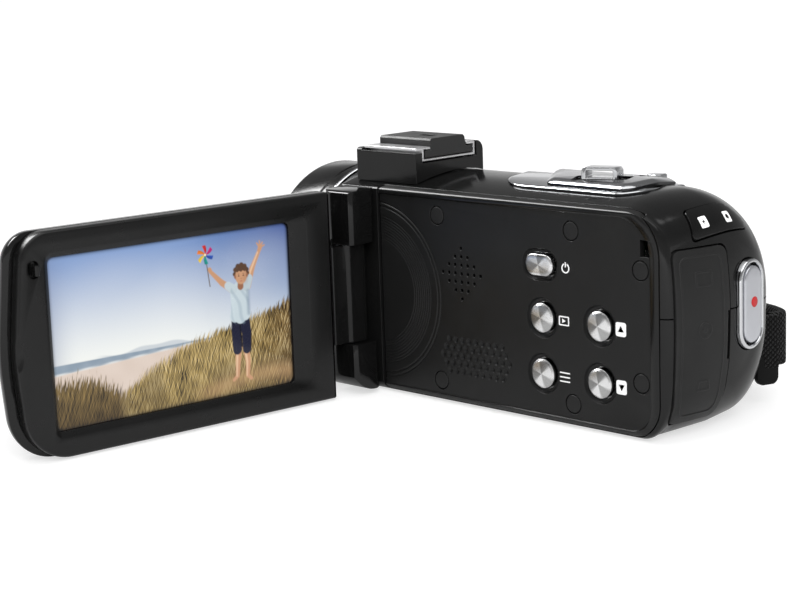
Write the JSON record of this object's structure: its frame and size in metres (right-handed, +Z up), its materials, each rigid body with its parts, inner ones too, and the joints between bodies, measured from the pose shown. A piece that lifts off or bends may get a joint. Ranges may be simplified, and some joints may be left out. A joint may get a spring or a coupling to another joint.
{
  "type": "camcorder",
  "caption": "Compact hand-held camcorder with a swing-out swivelling screen, a record button on the rear, a top accessory shoe, a zoom lever and a hand strap.",
  "frame": {"origin": "on the flat base, under the middle of the body", "axes": "+Z up; the lens looks along -Y; the screen opens on the +X side, so the open screen makes X the longest extent"},
  "size_m": [0.1599, 0.131, 0.0622],
  "materials": {
    "satin": "satin moulded plastic",
    "gloss": "polished black plastic",
    "matte": "fine matt texture",
    "rubber": "matt rubber",
    "chrome": "bright plated",
    "silver": "brushed and anodised",
    "steel": "plain steel",
    "brass": "turned brass",
    "glass": "coated optical glass",
    "display": "display glass showing a beach picture",
    "board": "solder mask",
    "battery": "moulded plastic",
    "fabric": "woven nylon",
    "lamp": "clear lamp window",
    "white": "plain plastic"
  },
  "bodies": {
    "camera_body": {"side_cover": "satin", "screw_cap_1": "matte", "screw_cap_2": "matte", "screw_cap_3": "matte", "screw_cap_4": "matte", "screw_cap_5": "matte", "screw_cap_6": "matte", "upper_shell": "satin", "lower_shell": "satin", "front_housing": "satin", "upper_hinge_housing": "gloss", "lower_hinge_housing": "gloss", "hinge_pin": "steel", "lens_hood": "satin", "lens_trim_ring": "chrome", "front_glass": "glass", "lens_barrel": "matte", "rear_lens_group": "glass", "image_sensor_board": "board", "fill_light": "lamp", "microphone": "steel", "main_circuit_board": "board", "button_board": "board", "speaker": "matte", "battery_bay": "white", "battery_pack": "battery", "memory_card": "battery", "tripod_socket": "brass", "microphone_socket": "steel", "video_socket": "steel", "usb_socket": "steel", "shoe_block": "satin", "shoe_rails": "steel", "top_plate": "silver", "status_window": "gloss", "record_ring": "chrome", "hand_strap": "fabric", "strap_pad": "fabric", "rear_strap_lug": "satin", "front_strap_lug": "satin"},
    "screen_hinge": {"hinge_barrel": "matte", "swivel_shaft": "steel"},
    "screen": {"screen_bezel": "satin", "screen_back_shell": "gloss", "display": "display", "backlight": "white", "latch_hook": "satin"},
    "power_button_body": {"power_button": "chrome"},
    "mode_button_body": {"mode_button": "chrome"},
    "menu_button_body": {"menu_button": "chrome"},
    "up_button_body": {"up_button": "chrome"},
    "down_button_body": {"down_button": "chrome"},
    "record_button_body": {"record_button": "silver"},
    "photo_button_body": {"photo_button": "chrome"},
    "zoom_lever_body": {"zoom_lever": "chrome"},
    "port_door_body": {"port_door": "rubber"},
    "battery_door_body": {"battery_door": "satin"},
    "battery_catch_body": {"battery_catch": "satin"},
    "shoe_cover_body": {"shoe_cover": "matte"}
  },
  "joints": [
    {"name": "screen_open", "type": "hinge", "parent": "camera_body", "child": "screen_hinge", "pos_m": [0.02796, -0.03736, 0.02565], "axis": [0, 0, -1], "range_deg": [-95.2, 0]},
    {"name": "screen_swivel", "type": "hinge", "parent": "screen_hinge", "child": "screen", "pos_m": [0.02796, -0.03736, 0.02565], "axis": [-0.9959, 0.0906, 0], "range_deg": [-180, 90]},
    {"name": "power_press", "type": "slide", "parent": "camera_body", "child": "power_button_body", "axis": [-1, 0, 0], "range_m": [0, 0.00045], "stiffness_N_per_m": 400},
    {"name": "mode_press", "type": "slide", "parent": "camera_body", "child": "mode_button_body", "axis": [-1, 0, 0], "range_m": [0, 0.00045], "stiffness_N_per_m": 400},
    {"name": "menu_press", "type": "slide", "parent": "camera_body", "child": "menu_button_body", "axis": [-1, 0, 0], "range_m": [0, 0.00045], "stiffness_N_per_m": 400},
    {"name": "up_press", "type": "slide", "parent": "camera_body", "child": "up_button_body", "axis": [-1, 0, 0], "range_m": [0, 0.00045], "stiffness_N_per_m": 400},
    {"name": "down_press", "type": "slide", "parent": "camera_body", "child": "down_button_body", "axis": [-1, 0, 0], "range_m": [0, 0.00045], "stiffness_N_per_m": 400},
    {"name": "record_press", "type": "slide", "parent": "camera_body", "child": "record_button_body", "axis": [0.0523, -0.9986, 0], "range_m": [0, 0.0006], "stiffness_N_per_m": 400},
    {"name": "photo_press", "type": "slide", "parent": "camera_body", "child": "photo_button_body", "axis": [0, 0, -1], "range_m": [0, 0.0005], "stiffness_N_per_m": 400},
    {"name": "zoom_rock", "type": "slide", "parent": "camera_body", "child": "zoom_lever_body", "axis": [-0.3256, 0.9455, 0], "range_m": [-0.002, 0.002], "stiffness_N_per_m": 400},
    {"name": "catch_slide", "type": "slide", "parent": "camera_body", "child": "battery_catch_body", "axis": [0, -1, 0], "range_m": [0, 0.0016], "stiffness_N_per_m": 400},
    {"name": "shoe_cover_slide", "type": "slide", "parent": "camera_body", "child": "shoe_cover_body", "axis": [0, 1, 0], "range_m": [0, 0.022]},
    {"name": "port_door_open", "type": "hinge", "parent": "camera_body", "child": "port_door_body", "pos_m": [0.0206, 0.058, 0.023], "axis": [0, 0, -1], "range_deg": [0, 110]},
    {"name": "battery_door_open", "type": "hinge", "parent": "camera_body", "child": "battery_door_body", "pos_m": [0.0045, 0.046, 0.00015], "axis": [1, 0, 0], "range_deg": [0, 105]}
  ]
}
